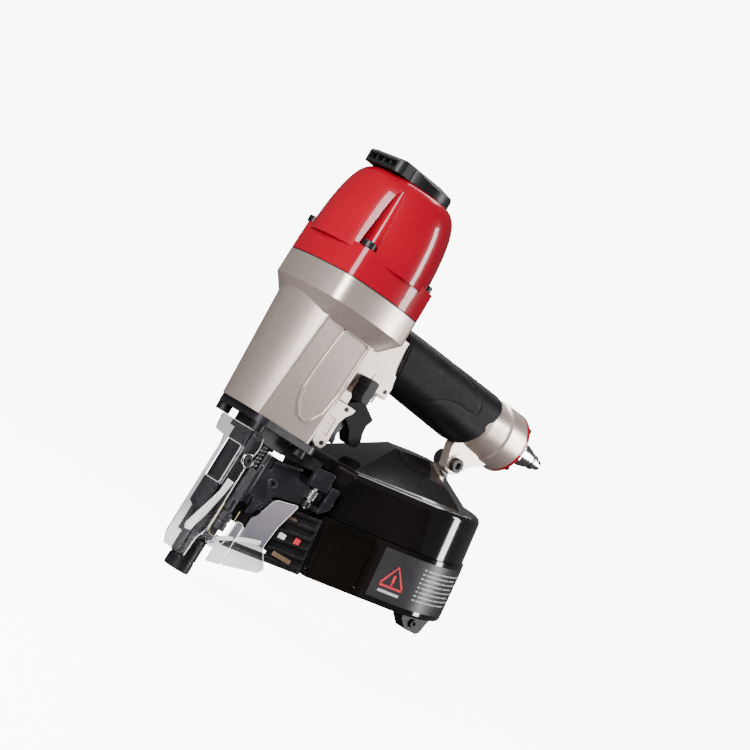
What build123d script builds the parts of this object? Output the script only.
from build123d import *
import math
import os

# Coil nailer for pallets and siding, 65 mm nails.  Millimetres.
# Origin: centre of the contact tip's bottom face.  +Z up the driver axis,
# +X towards the air plug, -Y the side with the feeder door.

# ---- driving dimensions --------------------------------------------------
FLANGE_BOT, FLANGE_TOP = 108.0, 113.0     # nose flange
NECK_Z, COLLAR_Z, SEAM_Z = 191.0, 199.6, 217.0
GASKET_T = 0.8
LEDGE_Z, CAP_TOP = 238.0, 290.0
HEAD_X = 2.2                              # collar and cap sit this far back
SCREW_R45 = 29.9                          # cap screws at (+-,+-) this
BORE_R, SLEEVE_R = 21.0, 23.5             # cylinder
RUN = 0.05                                # radial running clearance
STROKE = 97.0
PISTON_BOT, PISTON_TOP = 222.0, 236.0
DRIVER_R, DRIVER_TIP = 3.2, 100.0
TIP_R, TIP_TOP = 9.0, 23.0
TUBE_R, TUBE_BOT, GUIDE_BOT = 7.5, 20.0, 41.0
HANDLE_X0, HANDLE_X1 = 55.0, 177.0
PLUG_Z = 190.8                            # height of the handle's rear axis
FLARE_R, FLARE_END = 23.2, 195.0
END_SCREW = 14.9                          # end cap screws at (+-,+-) this
TRIG_X, TRIG_Z = 46.7, 146.6              # trigger pivot
GUIDE_PIN_X, GUIDE_PIN_Z = 43.1, 119.2
VALVE_X = 62.0
KNOB_X, KNOB_Z = 37.8, 162.5              # selector knob axis
LUG_X, LUG_Y, LUG_Z = 159.3, -1.2, 157.0  # rear lug screw, lug's inner face
DIAL_X, DIAL_Y = -0.8, -14.2              # depth dial axis
ROD_X, ROD_Y, ROD_R = 0.8, -11.2, 1.6     # arm guide rod
MAG_TILT, MAG_Z = 9.5, 27.8               # magazine frame
DRUM_X, DRUM_Y, DRUM_R = 143.0, -4.0, 62.0
SEAM_H, WALL_H, ROOF_H = 42.5, 76.0, 97.5  # heights in the magazine frame
SHELL = 2.5
SIDE_DEG = 21.7                           # feeder side runs at this angle to X
HINGE_S, HINGE_T = 10.2, -9.5             # feeder door hinge in the side frame
LATCH_S = 49.4
WINDOW = (73.5, 112.5, 0.8, 41.0)         # s and z range in the near wall

MAG = Location((0, 0, MAG_Z), (0, -MAG_TILT, 0))
SIDE = Location((0, 0, 0), (0, 0, -SIDE_DEG))
MAG_SIDE = MAG * SIDE
# raised outline on the barrel's flats, (x, z), outer and inner edge
PANEL = [(-9.4, 188.6), (16.4, 188.6), (17.0, 150), (14.8, 134), (9.0, 125.4), (3.6, 123.4),
         (-2, 124.8), (-7.8, 132.5), (-10.6, 142), (-10.8, 165)]
PANEL_IN = [(-7.6, 186.8), (14.6, 186.8), (15.2, 150.4), (13.2, 135), (8.0, 127.0),
            (3.4, 125.2), (-1.2, 126.4), (-6.3, 133.2), (-8.9, 142.4), (-9.0, 165)]



# ---- helpers -------------------------------------------------------------
def box(x0, x1, y0, y1, z0, z1):
    b = Box(x1 - x0, y1 - y0, z1 - z0)
    return Pos((x0 + x1) / 2, (y0 + y1) / 2, (z0 + z1) / 2) * b


def cyl(r, z0, z1, x=0.0, y=0.0):
    return Pos(x, y, (z0 + z1) / 2) * Cylinder(r, z1 - z0)


def cyl_x(r, x0, x1, y, z):
    return Pos((x0 + x1) / 2, y, z) * (Rot(0, 90, 0) * Cylinder(r, x1 - x0))


def cyl_y(r, y0, y1, x, z):
    return Pos(x, (y0 + y1) / 2, z) * (Rot(90, 0, 0) * Cylinder(r, y1 - y0))


def tube(r_out, r_in, z0, z1, x=0.0, y=0.0):
    return cyl(r_out, z0, z1, x, y) - cyl(r_in, z0 - 1, z1 + 1, x, y)


def hexagon(af, x0, x1, y, z):
    """Hexagonal bar along X, af across the flats."""
    face = RegularPolygon(af / 2, 6, major_radius=False)
    return Pos(x0, y, z) * (Rot(0, 90, 0) * extrude(face, x1 - x0))


def rounded(points, radius):
    """Filled outline in XY with every corner rounded."""
    face = make_face(Polyline(*points, close=True))
    return fillet(face.vertices(), radius) if radius else face


def plate_xz(points, y0, y1, radius=0.0):
    """Outline of (x, z) points extruded along Y from y0 to y1."""
    solid = extrude(rounded(points, radius), y1 - y0)
    return Pos(0, y1, 0) * (Rot(90, 0, 0) * solid)


def plate_yz(points, x0, x1, radius=0.0):
    """Outline of (y, z) points extruded along X from x0 to x1."""
    plane = Plane(origin=(x0, 0, 0), x_dir=(0, 1, 0), z_dir=(1, 0, 0))
    return extrude(plane * rounded(points, radius), x1 - x0)


def corners(half_x, half_y):
    return [(sx * half_x, sy * half_y) for sx in (-1, 1) for sy in (-1, 1)]


def spring(r, wire, z0, z1, turns, x=0.0, y=0.0):
    """Round-wire coil about Z; the wire stays between z0 and z1."""
    height = z1 - z0 - 2 * wire
    path = Helix(pitch=height / turns, height=height, radius=r)
    profile = Plane(origin=path @ 0, z_dir=path % 0) * Circle(wire)
    return Pos(x, y, z0 + wire) * sweep(profile, path=path)


def socket_screw(head_r, head_h, shank_r, length):
    """Socket-head screw along +Z, underside of the head at z = 0."""
    body = cyl(head_r, 0, head_h) + cyl(shank_r, -length, 0)
    body = chamfer(body.edges().filter_by(GeomType.CIRCLE).group_by(Axis.Z)[-1], 0.4)
    hexa = Pos(0, 0, head_h * 0.45) * extrude(RegularPolygon(head_r * 0.52, 6), head_h)
    return body - hexa


# ---- head: housing, cap and exhaust --------------------------------------
def barrel_face(front, ridge, flat, back):
    """Section of the lower barrel: bowed front, two flats, bowed back."""
    (rx, ry), (fx, fy) = ridge, flat
    edges = [
        ThreePointArc((rx, ry), (front, 0), (rx, -ry)),
        Line((rx, -ry), (fx, -fy)),
        ThreePointArc((fx, -fy), (back, 0), (fx, fy)),
        Line((fx, fy), (rx, ry)),
    ]
    return fillet(make_face(edges).vertices(), 2.5)


def head_face(corner, mid, radius, shift=HEAD_X):
    """Section of collar and cap: four bowed sides with rounded corners."""
    c, m = corner, mid
    edges = [
        ThreePointArc((c, -c), (m, 0), (c, c)),
        ThreePointArc((c, c), (0, m), (-c, c)),
        ThreePointArc((-c, c), (-m, 0), (-c, -c)),
        ThreePointArc((-c, -c), (0, -m), (c, -c)),
    ]
    return Pos(shift, 0, 0) * fillet(make_face(edges).vertices(), radius)


def barrel_solid(grow=0.0):
    g = grow
    low = barrel_face(-33.5 - g, (-27 - g, 21 + g), (17, 27.2 + g), 30)
    high = barrel_face(-37.4 - g, (-26 - g, 30 + g), (19, 31.2 + g), 34.8)
    return loft([Pos(0, 0, FLANGE_TOP) * low, Pos(0, 0, 202) * high], ruled=True)


def collar_solid():
    top = extrude(Pos(0, 0, COLLAR_Z) * head_face(34.5, 42, 12), SEAM_Z - COLLAR_Z)
    shoulder = loft([Pos(0, 0, NECK_Z - 3) * head_face(27.5, 34.5, 12, 0.5),
                     Pos(0, 0, COLLAR_Z) * head_face(34.5, 42, 12)], ruled=True)
    return top + shoulder


def side_panel():
    """Raised outline on both flats of the barrel."""
    ring = plate_xz(PANEL, -45, 45, 3.0) - plate_xz(PANEL_IN, -46, 46, 2.4)
    return ring & barrel_solid(0.9) - box(-40, 40, -14, 14, 110, 210)


def handle_face(half_y, half_z, radius):
    return fillet(Rectangle(2 * half_z, 2 * half_y).vertices(), radius)


def handle_section(x, z, half_y, half_z, radius):
    """Rounded section square to X, centred at height z."""
    return Pos(x, 0, z) * (Rot(0, 90, 0) * handle_face(half_y, half_z, radius))


def handle_core(grow=0.0):
    a = handle_section(30, 195.5, 15 + grow, 16.5 + grow, 12)
    b = handle_section(172, 190.8, 15.5 + grow, 17 + grow, 12)
    return loft([a, b], ruled=True)


def flare():
    """Round rear end of the handle, made as a turned profile about X."""
    pts = [(140, 17.0), (150, 19.2), (160, 20.8), (170, 21.5), (176.2, 21.9), (178, FLARE_R),
           (FLARE_END, FLARE_R), (FLARE_END, 0), (140, 0)]
    face = make_face(Polyline(*pts, close=True))
    solid = revolve(Plane.XZ * face, Axis.X)
    return Pos(0, 0, PLUG_Z) * solid


def lug():
    out = [(148, 180), (148, 166), (153.5, 151), (160, 149), (167.5, 152.5),
           (172, 160), (186, 168.5), (186, 180)]
    solid = plate_xz(out, -9, LUG_Y, 2.0)
    return solid + cyl_y(7.2, -9.5, LUG_Y, LUG_X, LUG_Z)


def web():
    """Block between barrel and grip, with the valve boss under it."""
    side = [(20, 206), (20, 166), (62, 166), (64, 172), (56, 206)]
    solid = plate_xz(side, -17, 17, 1.5)
    solid += plate_xz([(20, 190), (20, 165.5), (70.5, 165.5), (70.5, 190)], -9.5, 9.5)
    pad = plate_xz([(44, 176), (44, 166.2), (62.5, 166.2), (63.5, 173), (63, 176)], -17.6, 17.6)
    boss = box(28, 51.4, -11, 11, 157.0, 168) + box(28, 42.4, -11, 11, 149.8, 157)
    boss += cyl_y(5.2, -17.4, 17.4, KNOB_X, KNOB_Z)
    return solid + pad + boss


def housing():
    body = barrel_solid() + collar_solid() + side_panel()
    body += handle_core() & box(28, 176, -40, 40, 150, 240)
    body += flare() + lug() + web()
    # head-valve chamber, return chamber and sleeve seats
    body -= cyl(34, 213, SEAM_Z + 1)
    body -= cyl(24.4, 132, 206)
    body -= cyl(SLEEVE_R, 117, 214)
    body -= cyl(9.0, FLANGE_TOP - 1, 118)
    # air reservoir in the handle
    body -= Pos(0, 0, 0) * cyl_x(10.5, 38, 176, 0, 191.5)
    body -= cyl_x(19.0, 176, FLARE_END + 1, 0, PLUG_Z)
    body -= cyl_x(4.0, 22, 40, 0, 195)
    # trigger valve bore, selector shaft bore, pin and screw holes
    body -= cyl(6.5, 160, 184, VALVE_X)
    body -= cyl_y(2.0 + RUN, -30, 30, KNOB_X, KNOB_Z)
    for x0, x1 in ((-20, -9), (9, 20)):
        body -= cyl_y(1.5, x0, x1, 59.5, 170)
    body -= cyl_y(2.6, -12, 12, LUG_X, LUG_Z)
    for x, y in corners(SCREW_R45, SCREW_R45):
        body -= cyl(2.5, 203, SEAM_Z + 1, x, y)
    for x, y in corners(20.5, 19.5):
        body -= cyl(1.9, FLANGE_TOP - 1, 124, x, y)
    for y, z in corners(END_SCREW, END_SCREW):
        body -= cyl_x(1.2, 184, FLARE_END + 1, y, PLUG_Z + z)
    return body


def cap_profile():
    """Turned upper part of the cap: radius against height."""
    pts = [(43.6, LEDGE_Z - 4), (43.3, 246), (42.4, 256), (40.9, 267), (38.4, 277.5),
           (35.4, 284.5), (31.6, 288.8)]
    curve = Spline(*pts)
    rest = Polyline((31.6, 288.8), (29.5, CAP_TOP), (0, CAP_TOP), (0, LEDGE_Z - 4),
                    (43.6, LEDGE_Z - 4))
    return revolve(Plane.XZ * make_face([curve, rest]), Axis.Z)


def flute(sx, sy):
    """Tapered pocket above one cap screw."""
    low, high = SCREW_R45, 27.3
    a = Pos(sx * low, sy * low, LEDGE_Z - 0.1) * Circle(6.4)
    b = Pos(sx * high, sy * high, 286.5) * Circle(2.2)
    return loft([a, b], ruled=True)


def cylinder_cap():
    z0 = SEAM_Z + GASKET_T
    band = loft([Pos(0, 0, z0) * head_face(34.5, 42, 12),
                 Pos(0, 0, LEDGE_Z) * head_face(34.2, 41.4, 11)], ruled=True)
    body = band + Pos(1.0, 0, 0) * cap_profile()
    for sx in (-1, 1):
        for sy in (-1, 1):
            body -= flute(sx, sy)
            body -= cyl(2.6, z0 - 1, LEDGE_Z + 2, sx * SCREW_R45, sy * SCREW_R45)
    body -= cyl(30.1, z0 - 1, 262)
    body -= cyl(14.0, 261, 274)
    body -= cyl(5.0, 255, CAP_TOP + 1, -18, 0)
    body += cyl(8.0, CAP_TOP - 1, 293.5)
    return body - cyl(2.5, 280, 294)


def cap_gasket():
    body = extrude(Pos(0, 0, SEAM_Z) * head_face(34.2, 41.7, 12), GASKET_T)
    body -= cyl(34, SEAM_Z - 1, SEAM_Z + 2)
    for x, y in corners(SCREW_R45, SCREW_R45):
        body -= cyl(2.6, SEAM_Z - 1, SEAM_Z + 2, x, y)
    return body


def cap_screws():
    one = socket_screw(4.8, 4.4, 2.5, 34)
    return [Pos(x, y, LEDGE_Z) * one for x, y in corners(SCREW_R45, SCREW_R45)]


def exhaust_deflector():
    """Turning hood: a wide mouth at the front, falling away to the back."""
    plan = Circle(27.5) + Pos(-16, 0) * RectangleRounded(35, 38, 6)
    slab = extrude(Pos(0, 0, 290.6) * plan, 14)
    side = [(-34.5, 290.6), (-34.5, 297.4), (-27, 301.0), (-10, 303.5), (6, 301.2),
            (20, 296.0), (28.6, 290.6)]
    across = [(-28, 290), (-28, 296.0), (-17, 300.6), (0, 303.5), (17, 300.6), (28, 296.0),
              (28, 290)]
    body = slab & plate_xz(side, -30, 30, 1.2) & plate_yz(across, -36, 30, 1.0)
    body -= box(-36, 2, -14, 14, 292.8, 296.6)
    for y in (-7, 0, 7):
        body += box(-32.5, -14, y - 0.8, y + 0.8, 292.0, 297.4)
    body -= cyl(8.0 + RUN, 290, 293.8)
    body -= cyl(2.5 + RUN, 290, 305)
    body -= cyl(4.6, 299.5, 305)
    return body


def deflector_screw():
    return Pos(0, 0, 299.6) * socket_screw(4.2, 2.6, 2.5, 18)


# ---- drive: sleeve, piston, driver, bumper, head valve -------------------
def sleeve_grooves():
    return [119.0, 209.0]


def cylinder_sleeve():
    body = tube(SLEEVE_R, BORE_R, 117, PISTON_TOP + 0.2)
    for z in sleeve_grooves():
        body -= tube(SLEEVE_R + 1, SLEEVE_R - 1.1, z, z + 2)
    for k in range(8):
        a = math.radians(45 * k)
        body -= cyl(1.5, -3, 3).moved(Location((22 * math.cos(a), 22 * math.sin(a), 135),
                                               (0, 90, 45 * k)))
    return body


def cylinder_seals():
    return [tube(SLEEVE_R, SLEEVE_R - 1.1, z, z + 2) for z in sleeve_grooves()]


def piston():
    body = cyl(BORE_R - RUN, PISTON_BOT, PISTON_TOP)
    body -= tube(BORE_R + 1, BORE_R - 1.8, 227.5, 230.5)
    return body - cyl(DRIVER_R, PISTON_BOT - 1, 232) - cyl(15, 233.5, PISTON_TOP + 1)


def piston_ring():
    return tube(BORE_R - 0.02, BORE_R - 1.8, 227.5, 230.5)


def driver_blade():
    return cyl(DRIVER_R, DRIVER_TIP, 232)


def bumper():
    body = cyl(20.9, 113.0 + 5, 125 - 0.3) - cyl(4.0, 110, 130)
    return chamfer(body.edges().group_by(Axis.Z)[-1], 1.2)


def head_valve():
    body = cyl(30.1 - RUN, 242, 252) + tube(25.5, 21.5, PISTON_TOP + 0.6, 243)
    body -= tube(31, 28.4, 246, 248.4)
    return body - cyl(11.0, 248, 253)


def head_valve_ring():
    return tube(30.1 - 0.02, 28.4, 246, 248.4)


def head_valve_spring():
    return spring(9.0, 1.0, 248.0, 273.9, 5)


# ---- trigger group -------------------------------------------------------
def trigger():
    out = [(42.6, 146.6), (44.5, 150.4), (50, 152.5), (57.5, 157.0), (61.6, 157.0),
           (75.0, 150.6), (72.4, 145.0), (73.0, 140.0), (75.6, 134.0), (74.6, 129.6),
           (71.3, 127.9), (67.6, 128.2), (64.8, 131.0), (60.8, 136.6), (54.0, 140.6),
           (45.5, 142.6)]
    body = plate_xz(out, -5.6, 5.6, 1.1)
    body -= box(49.0, 59.4, -3.0, 3.0, 120, 154.4)
    return body - cyl_y(1.5 + RUN, -7, 7, TRIG_X, TRIG_Z)


def guide_pins():
    """Two equal pins: the trigger's pivot and the arm guide's lower pin."""
    return [cyl_y(1.5, -9.2, 9.2, x, z)
            for x, z in ((TRIG_X, TRIG_Z), (GUIDE_PIN_X, GUIDE_PIN_Z))]


def arm_guide():
    """Two ears behind the barrel that carry the trigger and guide the arm."""
    out = [(34.6, 149.4), (54.5, 149.4), (53.4, 146.6), (49.2, 141.8), (46.9, 136),
           (47.0, 126), (47.6, 119.6), (44.6, 115.4), (39.4, 115.4), (34.6, 118)]
    ear = plate_xz(out, -8.6, -6.0, 0.8)
    sunk = box(37.0, 43.6, -9.0, -8.1, 124.5, 137.5)
    ribs = [Pos(0, 0, 3.4 * k) * box(37.0, 43.6, -8.5, -8.0, 125.6, 126.8) for k in range(4)]
    ear = ear - sunk + ribs
    body = ear + mirror(ear, Plane.XZ) + box(34.6, 37.8, -7, 7, 118, 149.4)
    body -= cyl_y(1.5, -10, 10, TRIG_X, TRIG_Z)
    return body - cyl_y(1.5, -10, 10, GUIDE_PIN_X, GUIDE_PIN_Z)


def trigger_valve_body():
    body = cyl(6.5, 160.0, 184, VALVE_X)
    body -= cyl(2.0 + RUN, 159, 185, VALVE_X) + cyl(4.2, 168, 182.5, VALVE_X)
    return body


def valve_stem():
    return cyl(2.0, 157.6, 178, VALVE_X) + cyl(3.6, 168.4, 170.4, VALVE_X)


def valve_spring():
    return spring(3.0, 0.45, 170.4, 182.4, 5, VALVE_X)


def roll_pins():
    return [cyl_y(1.5, -17.9, -9, 59.5, 170), cyl_y(1.5, 9, 17.9, 59.5, 170)]


def selector_lever():
    knob = plate_xz([(34.0, 157.4), (34.0, 171), (37, 171.6), (41.6, 171), (41.6, 154.6),
                     (36, 154.6)], -29.4, -17.8, 1.4)
    knob += cyl_y(4.4, -28.6, -17.8, 38.6, KNOB_Z)
    shaft = cyl_y(2.0, -20, 13.0, KNOB_X, KNOB_Z)
    return knob + shaft


# ---- handle --------------------------------------------------------------
def grip():
    """Rubber sleeve over the handle core with slanted ends."""
    x0, x1 = HANDLE_X0 - 14, HANDLE_X1
    a = handle_section(x0, 195.4, 17.8, 20.0, 14)
    b = handle_section(108, 192.9, 19.2, 21.5, 15)
    c = handle_section(x1, 190.4, 20.4, 22.6, 16)
    body = loft([a, b, c])
    front = plate_xz([(30, 230), (52.5, 230), (64.0, 160), (30, 160)], -40, 40)
    rear = plate_xz([(165.5, 220), (162.5, 205), (157, 187), (149.5, 172), (142, 160),
                     (200, 160), (200, 220)], -40, 40)
    body = body - front - rear - (handle_core() & box(28, 176, -40, 40, 150, 240))
    return body - flare() - lug() - web() - collar_solid() - housing_bore()


def housing_bore():
    """Room kept for the trigger valve's boss inside the sleeve."""
    return box(40, 70.5, -9.5, 9.5, 160, 190)


def end_cap():
    body = cyl_x(FLARE_R, FLARE_END, 199, 0, PLUG_Z)
    body = chamfer(body.edges().group_by(Axis.X)[-1], 1.0)
    body += cyl_x(11.5, 198.5, 205, 0, PLUG_Z)
    body -= cyl_x(6.5, 190, 206, 0, PLUG_Z)
    for y, z in corners(END_SCREW, END_SCREW):
        body -= cyl_x(1.2, 190, 201, y, PLUG_Z + z)
    return body


def end_cap_screws():
    one = Rot(0, 90, 0) * socket_screw(2.1, 1.8, 1.2, 13.5)
    return [Pos(199, y, PLUG_Z + z) * one for y, z in corners(END_SCREW, END_SCREW)]


def plug_bushing():
    body = cyl_x(6.5, 193, 205, 0, PLUG_Z) + hexagon(17.5, 205, 213.5, 0, PLUG_Z)
    body += cyl_x(8.4, 213.5, 222.0, 0, PLUG_Z)
    return body - cyl_x(4.5, 190, 223, 0, PLUG_Z)


def air_plug():
    """Quarter-inch male quick plug."""
    pts = [(206, 2.6), (206, 4.5), (222, 4.5), (222, 7.2), (224, 7.4), (226.6, 7.4),
           (227.4, 4.3), (231.2, 4.3), (232.0, 5.9), (234.6, 5.9), (235.6, 3.9),
           (240.6, 3.9), (242, 3.1), (242, 2.6)]
    return Pos(0, 0, PLUG_Z) * revolve(Plane.XZ * make_face(Polyline(*pts, close=True)), Axis.X)


# ---- nose ----------------------------------------------------------------
def nose_body():
    """Flange, driver guide, tube, feed wall and door lugs."""
    plate = Pos(2.5, 0, FLANGE_BOT) * extrude(RectangleRounded(59, 50, 8), FLANGE_TOP - FLANGE_BOT)
    body = plate + box(-16.4, 15, -13.5, 9.4, 98, 109)
    body += chamfer(box(-13, 12, -8, 8, GUIDE_BOT, 99).edges().group_by(Axis.Z)[0], 2.0)
    body += cyl(TUBE_R, TUBE_BOT, 45)
    body += cyl(ROD_R, 68, 99, ROD_X, ROD_Y)
    body += SIDE * box(9, 63, 5, 8, 45, 95)
    for z0, z1 in ((59.6, 65.4), (86.4, 94.0)):
        arm = box(HINGE_S - 2.6, 16, HINGE_T, -3, z0, z1) + cyl(2.6, z0, z1, HINGE_S, HINGE_T)
        body += SIDE * arm
    body -= cyl(DRIVER_R + RUN, TUBE_BOT - 1, 115)
    body -= SIDE * box(0, 20, -4.0, 4.0, 47, 96)
    body -= SIDE * box(4, 30, 0, 9, 69, 81)
    body -= SIDE * cyl(1.5, 59, 95, HINGE_S, HINGE_T)
    body -= cyl_y(1.6, -20, -4, SHIELD_SCREW[0], SHIELD_SCREW[1])
    for x, y in corners(20.5, 19.5):
        body -= cyl(2.1, 100, 115, x, y)
    return body


SHIELD_SCREW = (-9.6, 83.6)               # x, z of the shield's screw


def nose_screws():
    one = Rot(180, 0, 0) * socket_screw(5.0, 5.6, 1.9, 14)
    return [Pos(x, y, FLANGE_BOT) * one for x, y in corners(20.5, 19.5)]


def contact_tip():
    body = cyl(TIP_R, 0, TIP_TOP)
    body = chamfer(body.edges().group_by(Axis.Z)[0], 0.8)
    body -= tube(TIP_R + 1, TIP_R - 0.6, 8.2, 9.4)
    return body - cyl(3.6, -1, 9) - cyl(TUBE_R + RUN, 8, TIP_TOP + 1)


def arm_ring():
    return cyl(TIP_R, TIP_TOP, TIP_TOP + 4)


def contact_arm():
    """Near-side arm: ring on the tip, stud for the dial, bar and spring hook."""
    body = arm_ring()
    low = [(-8.0, 23.2), (-17.0, 27.6), (-17.0, 31.4), (-12.0, 31.4), (-7.0, 27.2)]
    body += plate_yz(low, DIAL_X - 4.2, DIAL_X + 2.7)
    body += cyl(2.2, 27, 56, DIAL_X, DIAL_Y)
    body += cyl(3.8, 50.2, 58, DIAL_X, DIAL_Y)
    body += box(-4.0, 2.6, -15.6, -13.2, 54, 81)
    body += box(-1.9, 2.6, -15.6, -9.0, 77.5, 81)
    body -= cyl(TUBE_R + RUN, 22, 30)
    return body - cyl(ROD_R + RUN, 76, 82, ROD_X, ROD_Y)


def depth_dial():
    """Knurled nut, two stacked rings."""
    body = cyl(5.4, 36.2, 41.4) + cyl(4.9, 41.4, 43.2) + cyl(5.4, 43.2, 48.6)
    body = Pos(DIAL_X, DIAL_Y, 0) * body
    for k in range(20):
        a = math.radians(18 * k)
        x, y = DIAL_X + 5.5 * math.cos(a), DIAL_Y + 5.5 * math.sin(a)
        body -= cyl(0.32, 35, 50, x, y)
    return body - cyl(2.2 + RUN, 35, 50, DIAL_X, DIAL_Y)


def arm_spring():
    return spring(2.2, 0.38, 81.0, 98.0, 6, ROD_X, ROD_Y)


def upper_arm():
    """Far-side link from the tip's ring up to the trigger."""
    ring = box(-4, 6, 7.0, 14, TIP_TOP, TIP_TOP + 4) - cyl(TUBE_R + RUN, 20, 30)
    ring -= cyl(TIP_R, 20, 30)
    leg = box(-4, 6, 10.6, 14, TIP_TOP, 91.5)
    run = make_face(Polyline((-4, 10.6), (15.6, 10.4), (22, 4.9), (38.4, -4.8), (41, -4.8),
                             (41, 5.2), (8, 15.5), (-4, 14), close=True))
    run = extrude(Pos(0, 0, 88) * run, 3.5)
    riser = box(38.4, 40.9, -4.8, 5.2, 88, 127)
    cross = box(38.4, 57.4, -2.4, 2.4, 122.6, 127)
    bar = plate_xz([(53.4, 122.6), (57.4, 122.6), (56.2, 130), (58.2, 137.5), (58.0, 141.6),
                    (54.4, 141.6), (53.0, 136)], -2.4, 2.4)
    return ring + leg + run + riser + cross + bar


# ---- shields -------------------------------------------------------------
def debris_shield():
    """Clear plate round the front and near side of the nose."""
    front = [(-15.5, 102), (21, 102), (19, 91), (8, 90), (6.5, 84), (6.5, 18), (2, 11),
             (-15.5, 11)]
    body = plate_yz(front, -18, -16.5)
    near = [(-18, 102), (-7, 101), (-5.4, 94), (-7.4, 84), (-7.4, 33), (-11.8, 25), (-12.6, 11),
            (-18, 11)]
    body += plate_xz(near, -15.5, -14)
    body += plate_xz([(-8.4, 28), (-8.4, 33), (-7.4, 33), (5.4, 29), (5.4, 24.2), (-4, 24.2)],
                     -19.4, -17.9)
    body += box(-8.4, -7.2, -19.4, -14.5, 28, 33)
    body -= box(-20, -16, -13.0, 4.5, 62, 90)
    wing = [(9.4, 15.2), (19, 17.4), (19, 47), (13.8, 47), (13.2, 31), (12.2, 28.4),
            (9.4, 28.4)]
    body += SIDE * plate_xz(wing, -16.0, -14.5)
    body -= cyl_y(1.6, -20, -4, SHIELD_SCREW[0], SHIELD_SCREW[1])
    return body


def shield_screw():
    one = Rot(90, 0, 0) * socket_screw(3.4, 2.2, 1.6, 9)
    return Pos(SHIELD_SCREW[0], -15.5, SHIELD_SCREW[1]) * one


def door_shield():
    """Clear wing carried by the feeder door."""
    wing = [(20, 17.6), (44, 25), (46.5, 29), (38.2, 41), (39.8, 57), (44.8, 76),
            (27, 71), (23, 57), (20, 54)]
    body = plate_xz(wing, -16.0, -14.5, 0.6) + box(20.6, 29, -16.0, -14.5, 60, 66)
    return SIDE * (body + cyl_y(2.0, -14.6, -10.3, 22.8, 63))


# ---- feeder --------------------------------------------------------------
def feeder_door():
    out = [(12.6, 58.4), (12.6, 85.6), (15.5, 92), (34.5, 97), (36.5, 90.4), (49.6, 89.4),
           (49.6, 78), (28.5, 73), (21.4, 56), (16, 53.6)]
    body = plate_xz(out, -10.3, -8.8)
    lip = [(15.6, 91.0), (34.4, 96.0), (34.4, 97.6), (15.6, 92.6)]
    body += plate_xz(lip, -14.2, -8.8)
    body -= box(8, 17, -12, -8, 86.0, 95) + box(8, 17, -12, -8, 50, 65.8)
    body += box(HINGE_S, 17.5, -10.3, -8.8, 65.8, 85.6)
    body += cyl(2.6, 65.8, 86.0, HINGE_S, HINGE_T)
    body += cyl_y(3.4, -11.4, -10, 22.6, 79)
    body += box(44, 57, -10.3, -8.8, 86, 103)
    block = plate_xz([(43, 91), (43, 104), (56, 105.5), (56.6, 92)], -14.8, -8.8, 1.0)
    body += block
    body -= cyl_y(1.7, -13, -8, 22.6, 79)
    body -= cyl(1.5 + RUN, 50, 95, HINGE_S, HINGE_T)
    body -= cyl(1.4, 70, 100, LATCH_S, -11.8) + cyl(3.6, 76.5, 90.4, LATCH_S, -11.8)
    return SIDE * body


def door_hinge_pin():
    body = cyl(1.5, 59.2, 95.4, HINGE_S, HINGE_T)
    return SIDE * (body + cyl(2.4, 94.0, 95.4, HINGE_S, HINGE_T))


def latch_pin():
    return SIDE * cyl(1.4, 76.4, 100, LATCH_S, -11.8)


def latch_spring():
    return SIDE * (Pos(LATCH_S, -11.8, 0) * spring(2.9, 0.5, 82.2, 89.8, 5))


def door_latch():
    """Thumb lever on the latch pin, with a knurled end and a wire hook."""
    body = cyl(2.9, 77.6, 81.4, LATCH_S, -11.8)
    body += box(LATCH_S, 60, -13.0, -11.0, 78.0, 81.0)
    body += plate_xz([(58.2, 79), (58.2, 97.4), (64.4, 98.2), (64.4, 83.4), (60, 79)],
                     -14.4, -10.2, 0.8)
    for k in range(6):
        body += box(64.2, 65.1, -14.2, -10.4, 84.6 + 2.2 * k, 85.8 + 2.2 * k)
    body -= cyl(1.4 + RUN, 70, 85, LATCH_S, -11.8)
    return SIDE * body


def check_pawl():
    body = box(19.4, 29.0, -8.2, -6.2, 66, 70.6) + cyl(1.6, 66, 70.6, 19.4, -7.0)
    body -= cyl(0.9 + RUN, 60, 80, 19.4, -7.0)
    return SIDE * body


def check_pawl_pin():
    body = cyl(0.9, 64.4, 72.2, 19.4, -7.0)
    body += box(18.2, 20.6, -8.8, -6.0, 62.6, 65.0) + box(18.2, 20.6, -8.8, -6.0, 71.6, 74.0)
    return SIDE * body


FEED_T, FEED_Z, FEED_R = 17.4, 74.6, 8.0


def feed_cylinder():
    outer = cyl_x(FEED_R + 2, 22, 47, FEED_T, FEED_Z) + box(24, 46, 8, FEED_T, 68, 81)
    outer -= box(20, 50, 0, 8, 60, 90)
    outer -= cyl_x(FEED_R, 25.4, 44.6, FEED_T, FEED_Z)
    outer -= cyl_x(2.0 + RUN, 20, 27, FEED_T, FEED_Z)
    return SIDE * outer


def feed_piston():
    body = cyl_x(FEED_R - RUN, 28.6, 35.6, FEED_T, FEED_Z) + cyl_x(2.0, 9, 29, FEED_T, FEED_Z)
    return SIDE * body


def feed_pawl():
    arm = box(9.4, 12.4, 4.6, FEED_T + 3, FEED_Z - 3, FEED_Z + 3)
    arm -= cyl_x(2.0, 5, 20, FEED_T, FEED_Z)
    tooth = plate_xz([(9.4, 71.6), (9.4, 77.6), (7.0, 77.6), (9.0, 71.6)], 4.6, 7.4)
    return SIDE * (arm + tooth)


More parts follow.
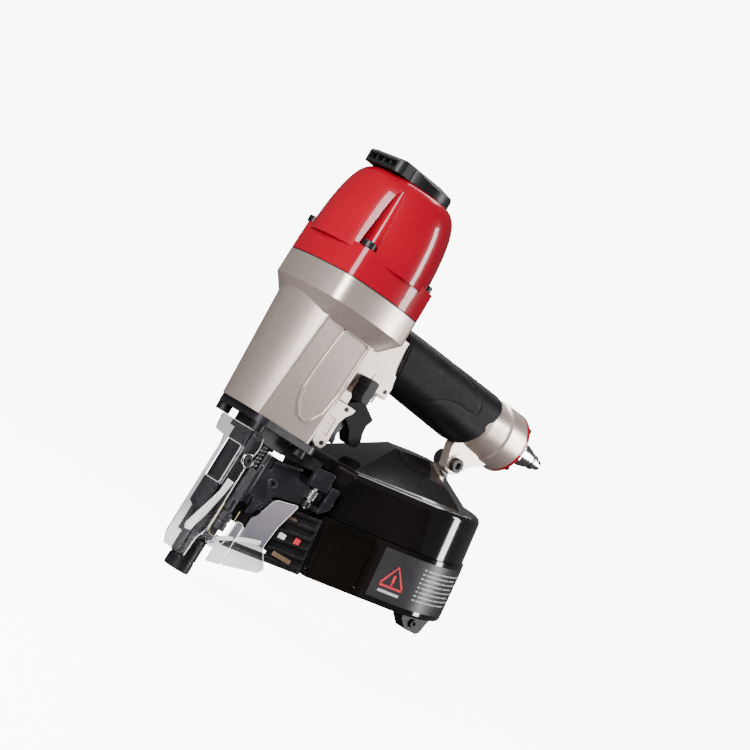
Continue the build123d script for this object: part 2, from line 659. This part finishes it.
def strip_guide():
    """Slatted near wall and floor of the nail channel."""
    body = box(15, 72, -9.4, 9, -1.2, 1.2) + box(46, 72, -7.4, -6.0, 0, 37.5)
    for k in range(6):
        body += box(45, 72, -10.0, -7.0, 1.4 + 6.9 * k, 3.2 + 6.9 * k)
    body += box(70.6, 72, -10.0, -6.0, 0, 38)
    solid = MAG_SIDE * body
    return solid - cyl(12, 0, 60) - (MAG * box(63.6, 90, -60, 60, -5, 60))


# ---- magazine ------------------------------------------------------------
def drum_face(radius, front, near_shift=0.0):
    """Drum outline: an arc closed by two tangents running forward to x = front."""
    a = math.radians(SIDE_DEG)
    nx, ny = -math.sin(a), -math.cos(a)
    near_t = (DRUM_X + radius * nx, DRUM_Y + radius * ny)
    far_t = (near_t[0], 2 * DRUM_Y - near_t[1])
    near_f = (front, near_t[1] + (near_t[0] - front) * math.tan(a))
    far_f = (front, 2 * DRUM_Y - near_f[1])
    edges = [Line(near_f, near_t), ThreePointArc(near_t, (DRUM_X + radius, DRUM_Y), far_t),
             Line(far_t, far_f), Line(far_f, near_f)]
    return make_face(edges)


ROOF_BASE = [(70.5, -33), (166, -50), (197, -22), (197, 14), (166, 42), (104, 44), (71, 24)]
ROOF_TOP = [(117, -13), (152, -13), (163, -8), (163, 4), (154, 11), (143, 12), (131, 12)]


def roof(inset, lift):
    """Hipped roof as a ruled loft between two outlines, shrunk by inset."""
    cx, cy = 137.0, -2.0

    def shrink(pts):
        out = []
        for x, y in pts:
            d = math.hypot(x - cx, y - cy)
            out.append((x - (x - cx) * inset / d, y - (y - cy) * inset / d))
        return out
    low = Pos(0, 0, WALL_H - 2 - lift) * make_face(Polyline(*shrink(ROOF_BASE), close=True))
    high = Pos(0, 0, ROOF_H - lift) * make_face(Polyline(*shrink(ROOF_TOP), close=True))
    return loft([low, high], ruled=True)


def magazine_body():
    """Upper drum with the hipped roof, open below."""
    front = 68.5
    outer = extrude(Pos(0, 0, SEAM_H) * drum_face(DRUM_R, front), WALL_H - SEAM_H, taper=1.5)
    outer = fillet(outer.edges().group_by(Axis.Z)[-1], 4.5)
    outer += roof(0, 0)
    inner = extrude(Pos(0, 0, SEAM_H - 1) * drum_face(DRUM_R - SHELL, front + SHELL),
                    WALL_H - SEAM_H - SHELL + 1, taper=1.5)
    body = outer - inner - roof(4.5, 2.6)
    body -= box(60, 80, -22, 12, SEAM_H - 1, 68)
    knuckle = cyl_y(3.2, 4.4, 12, DRUM_X + 66, SEAM_H) + box(200, 209, 4.4, 12, 42.9, 45.7)
    knuckle += mirror(knuckle, Plane.XZ.offset(-DRUM_Y))
    body += knuckle
    body -= Pos(0, DRUM_Y, 0) * cyl_y(1.5, -20, 20, DRUM_X + 66, SEAM_H)
    return MAG * body


def near_wall_t():
    """Distance of the bucket's near wall from the driver axis."""
    a = math.radians(SIDE_DEG)
    return math.sin(a) * DRUM_X + math.cos(a) * DRUM_Y - DRUM_R - 1.0


def magazine_cover():
    """Lower bucket with floor, window opening and hinge knuckle."""
    front, top = 64.0, SEAM_H - 0.4
    outer = extrude(drum_face(DRUM_R + 1.4, front), top)
    outer = fillet(outer.edges().group_by(Axis.Z)[0], 2.0)
    inner = extrude(Pos(0, 0, SHELL) * drum_face(DRUM_R - 1.1, front + SHELL), top)
    body = outer - inner
    body -= box(60, 70, -27, 16, 3, 60)
    body -= SIDE * window_plate(0, -80, 0)
    body += cyl(5.0, 1, 40, DRUM_X, DRUM_Y)
    knuckle = cyl_y(3.2, DRUM_Y - 7.8, DRUM_Y + 7.8, DRUM_X + 66, SEAM_H)
    knuckle += box(200, 209, DRUM_Y - 7.8, DRUM_Y + 7.8, 38.5, 41.6)
    body += knuckle
    body -= cyl_y(1.5 + RUN, -20, 20, DRUM_X + 66, SEAM_H)
    return MAG * body


def window_plate(inset, t0, t1):
    """Rounded rectangle in the near wall's plane, from t0 to t1 across it."""
    s0, s1, z0, z1 = WINDOW
    i = inset
    pts = [(s0 + i, z0 + i), (s0 + i, z1 - i), (s1 - i, z1 - i), (s1 - i, z0 + i)]
    return plate_xz(pts, t0, t1, 6.0 - i)


def cover_window():
    """Smoked window with a raised rounded frame."""
    t = near_wall_t()
    ring = window_plate(0, t - 2.2, t + 2.0) - window_plate(2.4, t - 6, t + 6)
    return MAG_SIDE * (ring + window_plate(2.4, t - 0.2, t + 1.2))


def cover_hinge_pin():
    return MAG * cyl_y(1.5, DRUM_Y - 17, DRUM_Y + 17, DRUM_X + 66, SEAM_H)


def nail_platform():
    """Height-adjustable table for the coil on its post."""
    body = cyl(46, 12, 14.2, DRUM_X, DRUM_Y) + cyl(7.4, 3.2, 66, DRUM_X, DRUM_Y)
    return MAG * (body - cyl(5.0 + RUN, 2, 60, DRUM_X, DRUM_Y))


def magazine_foot():
    out = [(173, 56), (175.6, 46.8), (183.4, 41.2), (195.6, 41.6), (198.4, 44), (202, 60)]
    body = plate_xz(out, -27, -17, 1.0)
    body -= MAG * box(150, 230, -60, 60, 0.01, 30)
    return body - cyl_y(1.9, -30, -20, 187.5, 47.4)


def foot_screw():
    return Pos(187.5, -27, 47.4) * (Rot(90, 0, 0) * socket_screw(3.0, 1.8, 1.9, 7))


def rear_bracket():
    body = plate_xz([(LUG_X - 6, 162), (LUG_X + 6, 162), (LUG_X + 7, 150), (LUG_X + 13, 138),
                     (LUG_X - 4, 140), (LUG_X - 7, 150)], LUG_Y, 3.0, 1.5)
    foot = MAG * box(171, 192, -9, 8, 70, 92)
    body += foot & (MAG * (roof(-1.8, -1.2)))
    body -= MAG * roof(0, 0)
    return body - cyl_y(2.6, -12, 12, LUG_X, LUG_Z)


def lug_screw():
    one = Rot(90, 0, 0) * socket_screw(5.2, 3.6, 2.6, 16.5)
    return Pos(LUG_X, -9.5, LUG_Z) * one


def lug_nut():
    body = cyl_y(6.1, 3.0, 8.0, LUG_X, LUG_Z) - cyl_y(2.6, 2, 9, LUG_X, LUG_Z)
    return chamfer(body.edges().group_by(Axis.Y)[-1], 0.6)


# ---- build ---------------------------------------------------------------
MAKERS = [
    housing, cylinder_cap, cap_gasket, cap_screws, exhaust_deflector, deflector_screw,
    cylinder_sleeve, cylinder_seals, piston, piston_ring, driver_blade, bumper, head_valve,
    head_valve_ring, head_valve_spring, trigger, guide_pins, arm_guide, trigger_valve_body,
    valve_stem, valve_spring, roll_pins, selector_lever, grip, end_cap, end_cap_screws,
    plug_bushing, air_plug, nose_body, nose_screws, contact_tip, contact_arm, depth_dial,
    arm_spring, upper_arm, debris_shield, shield_screw, door_shield, feeder_door,
    door_hinge_pin, latch_pin, latch_spring, door_latch, check_pawl, check_pawl_pin,
    feed_cylinder, feed_piston, feed_pawl, strip_guide, magazine_body, magazine_cover,
    cover_window, cover_hinge_pin, nail_platform, magazine_foot, foot_screw, rear_bracket,
    lug_screw, lug_nut,
]

os.makedirs("parts", exist_ok=True)
for maker in MAKERS:
    made = maker()
    if isinstance(made, (list, ShapeList)):
        made = Compound(children=list(made))
    export_step(made, "parts/" + maker.__name__ + ".step")
